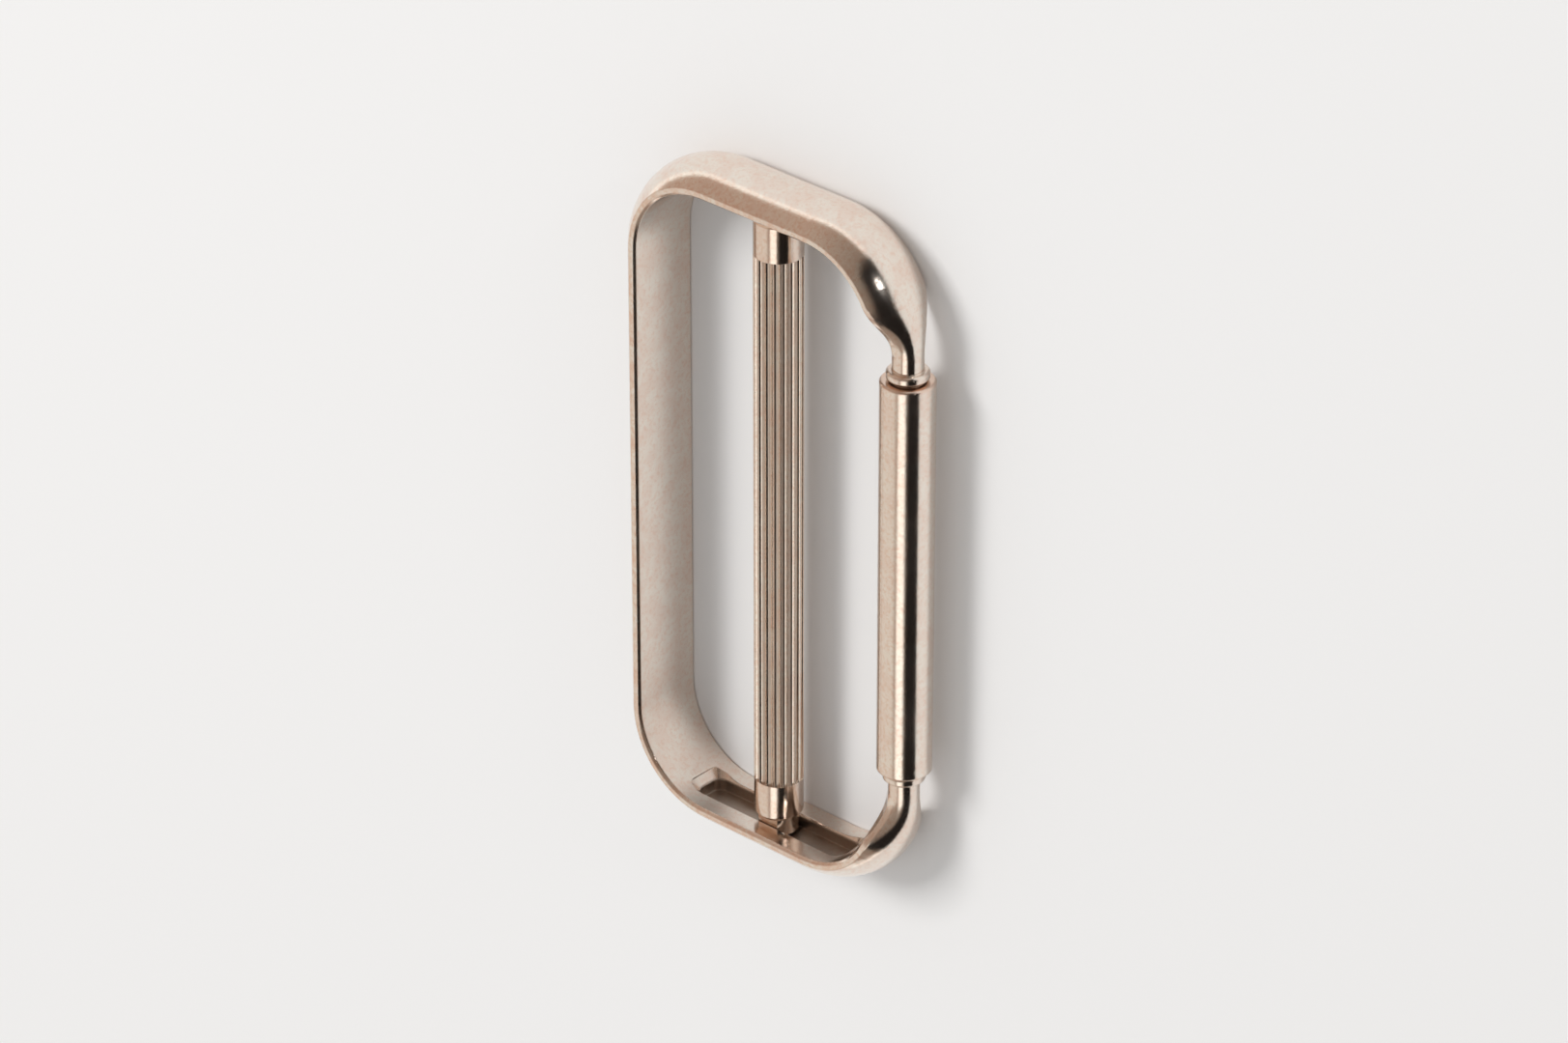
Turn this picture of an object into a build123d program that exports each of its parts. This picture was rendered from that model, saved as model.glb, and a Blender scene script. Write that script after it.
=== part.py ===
"""Roller slider for a 50 mm strap.

A rectangular ring of half-round band, flat inside and domed outside, lies in
the XY plane.  Its two front corners taper like horns to a round spindle, on
which a split roller turns between two collars.  A fluted centre bar slides to
and fro between the front and rear bars, with its flattened ends in grooves
inside the two short ends.

The origin is the centre of the whole slider's box.  +X runs along the strap
bars, +Y from the roller to the rear bar, and +Z through the openings.
Lengths are in millimetres.
"""

import os
from math import cos, pi, radians, sin, sqrt

from build123d import *

# ---- ring ------------------------------------------------------------------
inner_length = 50.0  # between the insides of the two short ends
inner_width = 22.0  # between the insides of the front and rear bars
corner_radius = 6.2  # inside of each corner
band_width = 6.0  # the band's size along Z
band_thickness = 2.0  # from the flat inside to the crown of the dome
band_side = 0.55  # straight side between the flat and the dome
band_edge_break = 0.2  # chamfer on the edges of the flat inside face

# ---- horns, where the front corners taper to the spindle ---------------------
horn_start = 55.0  # degrees round the corner at which the horn's own surface begins
taper_start = 60.0  # degrees round the corner at which it starts to narrow
taper_past_corner = 1.0  # and how far beyond the corner it reaches the spindle
horn_step = 5.0  # degrees between the horn's sections
tip_length = 0.8  # how far back each horn's tip is turned
tip_turning = 0.3  # and how far that cone opens out

# ---- roller and the spindle that carries it ----------------------------------
roller_diameter = 4.0
roller_wall = 0.8
roller_seam = 0.3  # open seam of the curled sleeve
roller_rim_chamfer = 0.12
spin_clearance = 0.05  # between the sleeve and its spindle, on the radius
roller_end_clearance = 0.12  # between the sleeve and each collar
collar_step = 0.45  # how far the sleeve stands proud of its collars
collar_length = 0.7
collar_chamfer = 0.15
neck_length = 2.2  # from the end of the corner to the collar

# ---- centre bar and its grooves ---------------------------------------------
bar_diameter = 3.6
bar_travel = 5.0  # to each side of the middle
bar_end_gap = 0.6  # from the bar's round ends to the ring
bar_end_chamfer = 0.3
tongue_thickness = 2.4  # across the two flats
tongue_chamfer = 0.2
tongue_reach = 0.85  # how far each tongue goes into its groove
groove_clearance = 0.05  # above and below the tongue
groove_end_clearance = 0.2  # beyond the tongue at each end of its travel
groove_floor_clearance = 0.15
groove_corner_radius = 0.8
groove_edge_break = 0.15
plain_length = 3.0  # smooth stretch at each end of the flutes
flute_count = 20
flute_radius = 0.3
flute_depth = 0.2

# ---- worked out from the sizes above ----------------------------------------
half_length = inner_length / 2
half_width = inner_width / 2
side_straight = inner_length - 2 * corner_radius
end_straight = inner_width - 2 * corner_radius

roller_proud = (roller_diameter - band_thickness) / 2
ring_y = roller_proud / 2  # the ring's own centre, so that the whole box is centred
front_y = ring_y - half_width
rear_y = ring_y + half_width
roller_y = front_y - band_thickness / 2

collar_diameter = roller_diameter - 2 * collar_step
spindle_radius = roller_diameter / 2 - roller_wall - spin_clearance
corner_x = side_straight / 2  # where the front corners end
roller_axis = Axis((0, roller_y, 0), (1, 0, 0))
collar_x = corner_x - neck_length
roller_end_x = collar_x - collar_length - roller_end_clearance
taper_in_corner = radians(90 - taper_start) * (corner_radius + band_thickness / 2)
taper_length = taper_in_corner + taper_past_corner

bar_round_x = half_length - bar_end_gap
tongue_x = half_length + tongue_reach
grip_length = 2 * (bar_round_x - plain_length)
groove_depth = tongue_reach + groove_floor_clearance
groove_length = 2 * (bar_travel + bar_diameter / 2 + groove_end_clearance)
groove_height = tongue_thickness + 2 * groove_clearance


def band_section(plane, tapered=0.0):
    """Half-round section, flat on the plane's own Y axis and domed to its +X.

    A taper of 1 brings it to the spindle, and anything less to a shape between.
    """

    def between(on_band, on_spindle):
        return on_band + (on_spindle - on_band) * tapered

    middle = band_thickness / 2
    half = between(band_width / 2, spindle_radius)
    flat = between(0, middle - spindle_radius)
    crown = between(band_thickness, middle + spindle_radius)
    side = between(band_side, middle)
    corner = between(band_edge_break, spindle_radius * (2 - sqrt(2)))
    with BuildSketch(plane) as section:
        with BuildLine():
            inside = Polyline(
                (side, -half),
                (flat + corner, -half),
                (flat, corner - half),
                (flat, half - corner),
                (flat + corner, half),
                (side, half),
            )
            ThreePointArc(inside @ 1, (crown, 0), inside @ 0)
        make_face()
    return section.sketch


def horn_section(angle, past_corner=0.0):
    """The band's section part-way round the front corner at +X, or beyond it."""
    turned = radians(angle)
    outward = Vector(cos(turned), -sin(turned))
    onward = Vector(-sin(turned), -cos(turned))
    centre = Vector(corner_x, ring_y - end_straight / 2)
    along = radians(angle - taper_start) * (corner_radius + band_thickness / 2) + past_corner
    share = max(along, 0) / taper_length
    plane = Plane(
        origin=centre + outward * corner_radius + onward * past_corner,
        x_dir=outward,
        z_dir=onward,
    )
    return band_section(plane, (1 - cos(pi * share)) / 2)


# ---- frame: the half-round ring ---------------------------------------------
with BuildPart() as frame:
    rear_plane = Plane(origin=(0, rear_y, 0), x_dir=(0, 1, 0), z_dir=(1, 0, 0))
    extrude(band_section(rear_plane), amount=side_straight / 2, both=True)

    for side in (1, -1):
        end_plane = Plane(
            origin=(side * half_length, ring_y, 0), x_dir=(side, 0, 0), z_dir=(0, 1, 0)
        )
        extrude(band_section(end_plane), amount=end_straight / 2, both=True)

        for facing, turn_angle in ((1, 90), (-1, horn_start)):
            corner_y = ring_y + facing * end_straight / 2
            start = Plane(
                origin=(side * half_length, corner_y, 0), x_dir=(side, 0, 0), z_dir=(0, 1, 0)
            )
            turn = Axis((side * corner_x, corner_y, 0), (0, 0, side * facing))
            revolve(band_section(start), axis=turn, revolution_arc=turn_angle)

    horn_angles = [horn_start]
    while horn_angles[-1] < 90:
        horn_angles.append(min(horn_angles[-1] + horn_step, 90))
    sections = [horn_section(angle) for angle in horn_angles]
    sections += [horn_section(90, taper_past_corner * share) for share in (0.5, 1)]
    horn = loft(sections)
    mirror(horn, about=Plane.YZ)

    # The spindle and its collars.
    spindle_plane = Plane(origin=(0, roller_y, 0), z_dir=(1, 0, 0))
    with BuildSketch(spindle_plane):
        Circle(spindle_radius)
    extrude(amount=corner_x - taper_past_corner, both=True)
    for side in (1, -1):
        with BuildSketch(spindle_plane.offset(side * (collar_x - collar_length / 2))):
            Circle(collar_diameter / 2)
        extrude(amount=collar_length / 2, both=True)
    collar_edges = frame.edges().filter_by(GeomType.CIRCLE)
    collar_edges = collar_edges.filter_by(lambda edge: abs(edge.radius - collar_diameter / 2) < 0.01)
    chamfer(collar_edges, collar_chamfer)

    # The tips of the horns are turned down flush with the spindle.
    for side in (1, -1):
        tip_plane = Plane(
            origin=(side * (corner_x - taper_past_corner), roller_y, 0), x_dir=(side, 0, 0)
        )
        with BuildSketch(tip_plane):
            with BuildLine():
                tip_top = spindle_radius + tip_turning
                Polyline((0, spindle_radius), (tip_length, tip_top), (0, tip_top), close=True)
            make_face()
        revolve(axis=roller_axis, mode=Mode.SUBTRACT)

    # The grooves that the centre bar's tongues slide along.
    for side in (1, -1):
        floor_plane = Plane(
            origin=(side * (half_length + groove_depth), ring_y, 0),
            x_dir=(0, 1, 0),
            z_dir=(-side, 0, 0),
        )
        with BuildSketch(floor_plane):
            RectangleRounded(groove_length, groove_height, groove_corner_radius)
        extrude(amount=groove_depth + bar_end_gap, mode=Mode.SUBTRACT)
        with BuildSketch(floor_plane.offset(groove_depth - groove_edge_break)):
            RectangleRounded(groove_length, groove_height, groove_corner_radius)
        extrude(amount=groove_edge_break + bar_end_gap, taper=-45, mode=Mode.SUBTRACT)
frame.part.label = "frame"

# ---- roller: a curled sleeve with an open seam -------------------------------
with BuildPart() as roller:
    with BuildSketch(Plane(origin=(0, roller_y, 0), x_dir=(0, 1, 0), z_dir=(1, 0, 0))):
        Circle(roller_diameter / 2)
        Circle(roller_diameter / 2 - roller_wall, mode=Mode.SUBTRACT)
        with Locations((0, -roller_diameter / 2)):
            Rectangle(roller_seam, roller_diameter, mode=Mode.SUBTRACT)
    extrude(amount=roller_end_x, both=True)
    rims = roller.edges().filter_by(GeomType.CIRCLE).group_by(SortBy.RADIUS)[-1]
    chamfer(rims, roller_rim_chamfer)
roller.part.label = "roller"

# ---- centre bar: fluted grip with flattened ends -----------------------------
with BuildPart() as centre_bar:
    bar_plane = Plane(origin=(0, ring_y, 0), x_dir=(0, 1, 0), z_dir=(1, 0, 0))
    with BuildSketch(bar_plane):
        Circle(bar_diameter / 2)
    extrude(amount=bar_round_x, both=True)
    round_ends = centre_bar.edges().filter_by(GeomType.CIRCLE)
    chamfer(round_ends, bar_end_chamfer)

    with BuildSketch(bar_plane):
        with PolarLocations(bar_diameter / 2 + flute_radius - flute_depth, flute_count):
            Circle(flute_radius)
    extrude(amount=grip_length / 2, both=True, mode=Mode.SUBTRACT)

    with BuildSketch(bar_plane):
        Circle(bar_diameter / 2 - bar_end_chamfer)
        Rectangle(bar_diameter, tongue_thickness, mode=Mode.INTERSECT)
    extrude(amount=tongue_x, both=True)
    tips = centre_bar.faces().sort_by(Axis.X)
    chamfer([tips[0].edges(), tips[-1].edges()], tongue_chamfer)
centre_bar.part.label = "centre_bar"

# ---- one STEP file for each piece --------------------------------------------
os.makedirs("parts", exist_ok=True)
for piece in (frame, roller, centre_bar):
    export_step(piece.part, f"parts/{piece.part.label}.step")
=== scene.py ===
# %% [markdown]
# # A roller slider for a strap
#
# The slider is three pieces of plated metal: a rectangular ring bent from half-round
# band, a curled roller that turns on the thin spindle at the ring's front, and a fluted
# bar that slides across the middle to nip the strap. Polished metal has little colour
# of its own: it shows its surroundings. So this notebook spends its effort on three
# things: the fine marks that buffing and use leave, the surroundings that the metal
# mirrors, and a camera that looks at the slider from a useful side.

# %% Load the frame
import math

import bpy
from mathutils import Matrix, Vector


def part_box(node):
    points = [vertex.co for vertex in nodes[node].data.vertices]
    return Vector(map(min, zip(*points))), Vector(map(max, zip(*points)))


MM = 0.001
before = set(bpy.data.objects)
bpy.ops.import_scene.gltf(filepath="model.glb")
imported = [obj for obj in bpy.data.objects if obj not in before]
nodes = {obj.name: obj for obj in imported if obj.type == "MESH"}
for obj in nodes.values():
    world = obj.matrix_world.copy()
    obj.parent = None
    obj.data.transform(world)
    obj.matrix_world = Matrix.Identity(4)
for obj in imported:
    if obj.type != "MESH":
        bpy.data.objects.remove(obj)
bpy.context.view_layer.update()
print("pieces of the slider:", ", ".join(sorted(nodes)))

# %% [markdown]
# ## Where things are
#
# The finishes need to know where the band runs, because buffing lines follow it round
# the corners. Typing in coordinates would go stale as soon as the model changes, so the
# places come from the boxes of the pieces. The few sizes that no box can tell are named
# first: the band's thickness and the radius inside its corners, the half-height and
# depth of the grooves, the bar's plain ends, and the roller's wall and seam. From here
# on, lengths in a material are in millimetres, which keeps the numbers readable.

# %% Sizes in millimetres
BAND_THICKNESS = 2.0
CORNER_RADIUS = 6.2
GROOVE_HALF_HEIGHT = 1.25
GROOVE_DEPTH = 1.0
PLAIN_END = 4.45
ROLLER_WALL = 0.8
HALF_SEAM = 0.15


def box_mm(name):
    low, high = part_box(name)
    return low / MM, high / MM


ring_low, ring_high = box_mm("frame")
bar_low, bar_high = box_mm("centre_bar")
roller_low, roller_high = box_mm("roller")

ring_y = (bar_low.y + bar_high.y) / 2
inside_x = ring_high.x - BAND_THICKNESS
inside_y = ring_high.y - BAND_THICKNESS - ring_y
straight_x = inside_x - CORNER_RADIUS
straight_y = inside_y - CORNER_RADIUS
edge_z = ring_high.z
bar_radius = (bar_high.y - bar_low.y) / 2
roller_y = (roller_low.y + roller_high.y) / 2
roller_radius = (roller_high.y - roller_low.y) / 2
print(f"inside of the ring {2 * inside_x:.1f} x {2 * inside_y:.1f} mm")
print(f"band {2 * edge_z:.1f} mm wide, roller {2 * roller_radius:.1f} mm thick")

# %% [markdown]
# ## The camera
#
# The slider is seen along its bars, from beside one short end, with that end at the top
# of the picture. A camera could be aimed with a constraint, but its roll would then need
# a second trick. Here its three directions are worked out from two plain angles, how far
# it looks down onto the end and how far it is turned round the bars, and go straight
# into its matrix.

# %% Camera
LOOK_DOWN = math.radians(30)
TURN = math.radians(42)
DISTANCE = 0.51
LENS = 165

to_camera = Vector((
    math.sin(LOOK_DOWN),
    -math.cos(LOOK_DOWN) * math.sin(TURN),
    math.cos(LOOK_DOWN) * math.cos(TURN),
))
right = Vector((0, -math.cos(TURN), -math.sin(TURN)))
up = to_camera.cross(right)

camera_data = bpy.data.cameras.new("camera")
camera_data.lens = LENS
camera = bpy.data.objects.new("camera", camera_data)
bpy.context.scene.collection.objects.link(camera)
facing = Matrix((right, up, to_camera)).transposed().to_4x4()
camera.matrix_world = Matrix.Translation(to_camera * DISTANCE) @ facing
bpy.context.scene.camera = camera
print("camera at", [round(v, 3) for v in camera.matrix_world.translation])

# %% [markdown]
# ## Sums instead of node wiring
#
# A material is a graph of nodes, and most of the nodes in a procedural one are small
# sums. Wiring each sum by hand hides what it means. The class below wraps a node's
# output, so that a Python expression such as `1 - mask` adds the Math nodes for it, and
# the mask reads as it would on paper.

# %% Values that add their own nodes


class Value:
    """A node's output. Sums on it add Math nodes."""

    def __init__(self, graph, socket):
        self.graph = graph
        self.socket = socket

    def math(self, operation, *others):
        inputs = dict(enumerate((self, *others)))
        return self.graph.node("ShaderNodeMath", {"operation": operation}, inputs)

    def __add__(self, other):
        return self.math("ADD", other)

    def __sub__(self, other):
        return self.math("SUBTRACT", other)

    def __mul__(self, other):
        return self.math("MULTIPLY", other)

    def __rsub__(self, other):
        inputs = {0: other, 1: self}
        return self.graph.node("ShaderNodeMath", {"operation": "SUBTRACT"}, inputs)

    __radd__ = __add__

    def abs(self):
        return self.math("ABSOLUTE")

    def at_least(self, least):
        return self.math("MAXIMUM", least)

    def rise(self, low, high):
        """0 up to low, 1 from high on, smooth between. It falls where high is the lower."""
        inputs = {"Value": self, "From Min": low, "From Max": high}
        return self.graph.node("ShaderNodeMapRange", {"interpolation_type": "SMOOTHSTEP"}, inputs)

    def output(self, name):
        """Another output of the same node."""
        return Value(self.graph, self.socket.node.outputs[name])


class Graph:
    """The nodes of a material or of the world."""

    def __init__(self, owner):
        owner.use_nodes = True
        self.tree = owner.node_tree

    def node(self, kind, settings, inputs, output=0):
        made = self.tree.nodes.new(kind)
        for key, value in settings.items():
            setattr(made, key, value)
        for key, value in inputs.items():
            self.feed(made.inputs[key], value)
        return Value(self, made.outputs[output])

    def feed(self, socket, value):
        if isinstance(value, Value):
            self.tree.links.new(value.socket, socket)
        else:
            socket.default_value = value

    def mix(self, factor, first, second):
        """Colour mixed from first to second. A Mix node keeps its colours at 6 and 7."""
        inputs = {"Factor": factor, 6: first, 7: second}
        return self.node("ShaderNodeMix", {"data_type": "RGBA"}, inputs, output=2)

    def noise(self, vector, scale, detail=2.0, roughness=0.5):
        inputs = {"Vector": vector, "Scale": scale, "Detail": detail, "Roughness": roughness}
        return self.node("ShaderNodeTexNoise", {}, inputs)

    def vector(self, x, y, z):
        return self.node("ShaderNodeCombineXYZ", {}, {0: x, 1: y, 2: z})


print("sums ready")

# %% [markdown]
# ## Plating
#
# All three pieces are dipped in the same warm nickel, so they share one recipe. The
# metal is a little rosier in some clouds and a little more straw-coloured in others,
# with a fine speckle over both. Its edges have rubbed down towards the copper under the
# nickel. The places that no buffing wheel reaches are duller, and their colour is darkened
# there as painted shade. The clouds and speckle come from noise in the piece's own space,
# which needs no unwrapping and stays put when the piece moves. Each piece then gives the
# recipe three masks of its own, for streaks, wear, and hollows that get dullness with
# painted shade, and says how softly its edges are rounded. A Bevel node does that rounding
# in the shading alone, so that a sharp edge catches light as a buffed one does.

# %% The shared plating recipe
ROSE = (0.87, 0.745, 0.655, 1)
STRAW = (0.89, 0.815, 0.73, 1)
COPPER = (0.80, 0.50, 0.36, 1)
# Dark brown painted into hollows as painted shade.
HOLLOW_SHADE = (0.20, 0.145, 0.105, 1)
SPECKLED = 0.32
WORN_THROUGH = 0.35
POLISH = 0.08
MICRON = 0.001 * MM

# How quickly each pattern changes, in cycles to a millimetre.
SMEARS, CLOUDS, RIPPLES, SPECKLES = 0.22, 0.6, 0.9, 3.2
ALONG_LINES, ACROSS_LINES = 0.12, 7


class Plating(Graph):
    """A plated metal. Finish it with coat(), once its masks are made."""

    def __init__(self, name):
        self.material = bpy.data.materials.new(name)
        super().__init__(self.material)
        self.shader = self.tree.nodes["Principled BSDF"]
        self.shader.inputs["Metallic"].default_value = 1.0
        here = self.node("ShaderNodeTexCoord", {}, {}, output="Object")
        scaled = {0: here, "Scale": 1 / MM}
        self.place = self.node("ShaderNodeVectorMath", {"operation": "SCALE"}, scaled)
        self.x = self.node("ShaderNodeSeparateXYZ", {}, {0: self.place})
        self.y = self.x.output("Y")
        self.z = self.x.output("Z")

    def from_axis(self, axis_y):
        """Distances from the line along X through axis_y: in Y alone, and straight out."""
        beside = self.y - axis_y
        return beside, (beside * beside + self.z * self.z).math("SQRT")

    def lines(self, along, across, over):
        """Fine lines: noise that is stretched one way and squeezed the other two."""
        stretched = self.vector(along * ALONG_LINES, across * ACROSS_LINES, over * ACROSS_LINES)
        return self.noise(stretched, 1.0, detail=3.0, roughness=0.6)

    def coat(self, streaks, wear, shade_and_dullness, edge_radius):
        clouds = self.noise(self.place, CLOUDS, detail=4.0, roughness=0.6).rise(0.38, 0.62)
        speckle = self.noise(self.place, SPECKLES, detail=4.0, roughness=0.75)
        smears = self.noise(self.place, SMEARS, detail=2.0).rise(0.4, 0.7)
        ripple = self.noise(self.place, RIPPLES, detail=1.0)

        colour = self.mix(clouds, ROSE, STRAW)
        colour = self.mix(speckle.rise(0.48, 0.62) * SPECKLED, colour, COPPER)
        colour = self.mix(wear * WORN_THROUGH, colour, COPPER)
        # Painted shade: the hollows' colour is pulled towards dark brown; the same mask also
        # makes them duller.
        colour = self.mix(shade_and_dullness, colour, HOLLOW_SHADE)
        self.feed(self.shader.inputs["Base Color"], colour)

        rough = POLISH + smears * 0.05 + speckle * 0.06 + streaks * 0.06 + shade_and_dullness * 0.35
        self.feed(self.shader.inputs["Roughness"], rough)

        microns_high = streaks * 1.5 + speckle * 6.0 + ripple * 6.0
        rounded = self.node("ShaderNodeBevel", {"samples": 6}, {"Radius": edge_radius * MM})
        bump = {"Distance": MICRON, "Height": microns_high, "Normal": rounded}
        self.feed(self.shader.inputs["Normal"], self.node("ShaderNodeBump", {}, bump))

    def dress(self, name):
        slots = nodes[name].data.materials
        slots.clear()
        slots.append(self.material)
        print(f"{name}: {len(self.tree.nodes)} nodes of plating")


print(f"plating with patterns from {SMEARS} to {SPECKLES} cycles a millimetre")

# %% [markdown]
# ## The ring
#
# A buffing wheel follows the band, so its lines run lengthways and turn with the
# corners. Bending a texture round a corner sounds hard, but only the distances *across*
# the band have to be exact: how high a point stands above the flat inside, and how far
# it is from the middle plane. Both are simple sums. Noise squeezed along those two and
# stretched along everything else gives lines that follow the band by themselves. The
# spindle that carries the roller was turned on a lathe, so its lines go round it. Each
# mask below fades over a short way, so that no finish ends in a hard line.

# %% The ring's finish
ring = Plating("plated_ring")
across_y = ring.y - ring_y
out_x = ring.x.abs()
out_z = ring.z.abs()
past_x = (out_x - straight_x).at_least(0.0)
past_y = (across_y.abs() - straight_y).at_least(0.0)
from_core = (past_x * past_x + past_y * past_y).math("SQRT")
height_on_band = from_core - CORNER_RADIUS

buffed = ring.lines(ring.x + ring.y, from_core, ring.z)
turned = ring.noise(ring.vector(ring.x * 8, 0.0, 0.0), 1.0, detail=2.0)
between_horns = out_x.rise(straight_x, straight_x - 1.2)
on_spindle = between_horns * ring.y.rise(roller_y + 3.0, roller_y + 2.4)
streaks = buffed * (1 - on_spindle) + turned * on_spindle

edge = out_z.rise(edge_z - 0.35, edge_z - 0.02)
patchy = ring.noise(ring.place, 0.8, detail=4.0, roughness=0.65).rise(0.42, 0.62)
wear = edge * patchy

# The grooves in the flat inside: duller, and darkened with painted shade.
behind_flat = out_x.rise(inside_x, inside_x + 0.12)
before_floor = height_on_band.rise(GROOVE_DEPTH + 0.4, GROOVE_DEPTH + 0.3)
between_sides = out_z.rise(GROOVE_HALF_HEIGHT + 0.15, GROOVE_HALF_HEIGHT + 0.02)
in_groove = behind_flat * before_floor * between_sides
ring.coat(streaks, wear, in_groove * 0.6, edge_radius=0.16)
ring.dress("frame")

# %% [markdown]
# ## The roller
#
# The roller is a strip of sheet curled until its edges almost meet. The strap drags
# round it, so its scratches are hoops. Its two rims are handled and knocked most. The
# inside of the bore and the lips of the open seam are duller and darkened with painted shade.

# %% The roller's finish
roller = Plating("plated_roller")
beside, radius = roller.from_axis(roller_y)
squeezed = roller.vector(roller.x * 6, beside * 0.25, roller.z * 0.25)
hoops = roller.noise(squeezed, 1.0, detail=4.0, roughness=0.7)
rim = roller.x.abs().rise(roller_high.x - 0.30, roller_high.x - 0.05)

bore_radius = roller_radius - ROLLER_WALL
in_bore = radius.rise(bore_radius + 0.15, bore_radius + 0.02)
below = roller.z.rise(0.0, -bore_radius)
at_lips = below * beside.abs().rise(HALF_SEAM + 0.06, HALF_SEAM + 0.01)
in_seam = at_lips * radius.rise(roller_radius - 0.03, roller_radius - 0.2)
# The bore and the seam's lips: painted shade, and a duller finish.
shade_and_dullness = in_bore.math("MAXIMUM", in_seam)
roller.coat(hoops, rim, shade_and_dullness * 0.7, edge_radius=0.16)
roller.dress("roller")

# %% [markdown]
# ## The centre bar
#
# The flutes are rolled in before plating. Their crests are kept bright by the strap,
# while their bottoms are duller and darkened with painted shade, which is what makes them
# readable from a distance. The distance from the bar's own axis tells crest from bottom.

# %% The centre bar's finish
bar = Plating("plated_bar")
beside, radius = bar.from_axis(ring_y)
drawn = bar.lines(bar.x, beside, bar.z)
crest = radius.rise(bar_radius - 0.05, bar_radius - 0.01)
flutes_begin = bar_high.x - PLAIN_END
fluted = bar.x.abs().rise(flutes_begin + 0.55, flutes_begin + 0.25)
# The flute bottoms: painted shade, and a duller finish.
in_flute = radius.rise(bar_radius - 0.12, bar_radius - 0.20) * fluted
bar.coat(drawn, crest * 0.5, in_flute * 0.45, edge_radius=0.05)
bar.dress("centre_bar")

# %% [markdown]
# ## The floor
#
# A plain pale floor keeps the eye on the metal.

# %% Floor
FLOOR_SIZE = 4.0
bpy.ops.mesh.primitive_plane_add(size=FLOOR_SIZE, location=(0, 0, ring_low.z * MM))
floor = bpy.context.object
floor.name = "floor"
paint = bpy.data.materials.new("floor")
paint_graph = Graph(paint)
paint_shader = paint_graph.tree.nodes["Principled BSDF"]
paint_shader.inputs["Base Color"].default_value = (0.86, 0.85, 0.84, 1)
paint_shader.inputs["Roughness"].default_value = 0.75
floor.data.materials.append(paint)
print("floor at z =", round(ring_low.z, 2), "mm")

# %% [markdown]
# ## The light
#
# A large soft key stands up and to one side. It lights the floor and throws the
# slider's shadow, but it is hidden from mirror rays: a lamp that close to white would
# burn a hard line into every edge, and the surroundings below draw gentler ones. The
# second lamp is small, and it is there to be mirrored. It gives the curved corner next
# to the roller its one bright spark.

# %% Lamps


def softbox(name, towards, distance, size, power, mirrored):
    data = bpy.data.lights.new(name, "AREA")
    data.shape = "RECTANGLE"
    data.size, data.size_y = size
    data.energy = power
    lamp = bpy.data.objects.new(name, data)
    lamp.location = Vector(towards).normalized() * distance
    lamp.rotation_euler = lamp.location.to_track_quat("Z", "Y").to_euler()
    lamp.visible_glossy = mirrored
    bpy.context.scene.collection.objects.link(lamp)
    print(f"{name}: {power} W at {distance} m")


softbox("key", (0.45, 0.45, 0.77), distance=1.2, size=(0.45, 0.45), power=8.0, mirrored=False)
softbox("spark", (0.58, -0.77, 0.26), distance=1.0, size=(0.07, 0.12), power=0.3, mirrored=True)

# %% [markdown]
# ## The surroundings
#
# In an evenly white room polished metal looks like grey plastic. A product studio
# avoids that with contrast. A bright sweep at the horizon becomes a pale line along the
# crown of the band. Overhead is a brown dusk, lighter on one side, and low in front of
# the roller is a dark space. Two windows are cut into the dusk. The large dim one is
# what the flat sides of the ring mirror, and the small bright one runs as a crisp line
# along the roller and the flutes. Rays that leave the camera see a plain pale
# background instead, and everything that isn't a mirror gets one even, soft light. The
# tones depend only on the direction that a ray goes, so they stay where they are when
# the camera moves.

# %% World
PALE = (0.86, 0.85, 0.84, 1)
SWEEP = (1.16, 1.13, 1.08, 1)
OVERHEAD_DIM = (0.25, 0.20, 0.165, 1)
OVERHEAD_LIT = (0.49, 0.37, 0.30, 1)
DARKNESS = (0.010, 0.008, 0.007, 1)
# Each window: its middle, the cosines at which it begins and is full, and its colour.
WINDOWS = (
    ((-0.50, 0.58, 0.64), 0.80, 0.93, (0.74, 0.68, 0.62, 1)),
    ((-0.50, -0.27, 0.82), 0.95, 0.985, (1.30, 1.25, 1.18, 1)),
)
EVEN = (0.60, 0.60, 0.60, 1)

world = bpy.data.worlds.new("studio")
bpy.context.scene.world = world
sky = Graph(world)
towards = sky.node("ShaderNodeTexCoord", {}, {}, output="Generated")
sky_y = sky.node("ShaderNodeSeparateXYZ", {}, {0: towards}, output="Y")
sky_z = sky_y.output("Z")
above_sweep = sky_z.rise(0.05, 0.16)
in_front = sky_y.rise(-0.36, -0.50) * sky_z.rise(0.0, 0.05) * sky_z.rise(0.80, 0.60)
overhead = sky.mix(sky_y.rise(-0.6, 0.9), OVERHEAD_DIM, OVERHEAD_LIT)
tone = sky.mix(above_sweep, SWEEP, overhead)
for middle, low, high, colour in WINDOWS:
    inputs = {0: towards, 1: middle}
    near = sky.node("ShaderNodeVectorMath", {"operation": "DOT_PRODUCT"}, inputs, output="Value")
    tone = sky.mix(near.rise(low, high), tone, colour)
tone = sky.mix(in_front, tone, DARKNESS)

from_camera = sky.node("ShaderNodeLightPath", {}, {}, output="Is Camera Ray")
through = from_camera.output("Is Transmission Ray")
mirrored = from_camera.output("Is Glossy Ray").math("MAXIMUM", through)
seen = sky.mix(mirrored, EVEN, tone)
seen = sky.mix(from_camera, seen, PALE)
sky.feed(sky.tree.nodes["Background"].inputs["Color"], seen)
print("world has", len(sky.tree.nodes), "nodes")

# %% [markdown]
# ## Colour view
#
# Standard view keeps the colours as they are written.

# %% Finish
bpy.context.scene.view_settings.view_transform = "Standard"
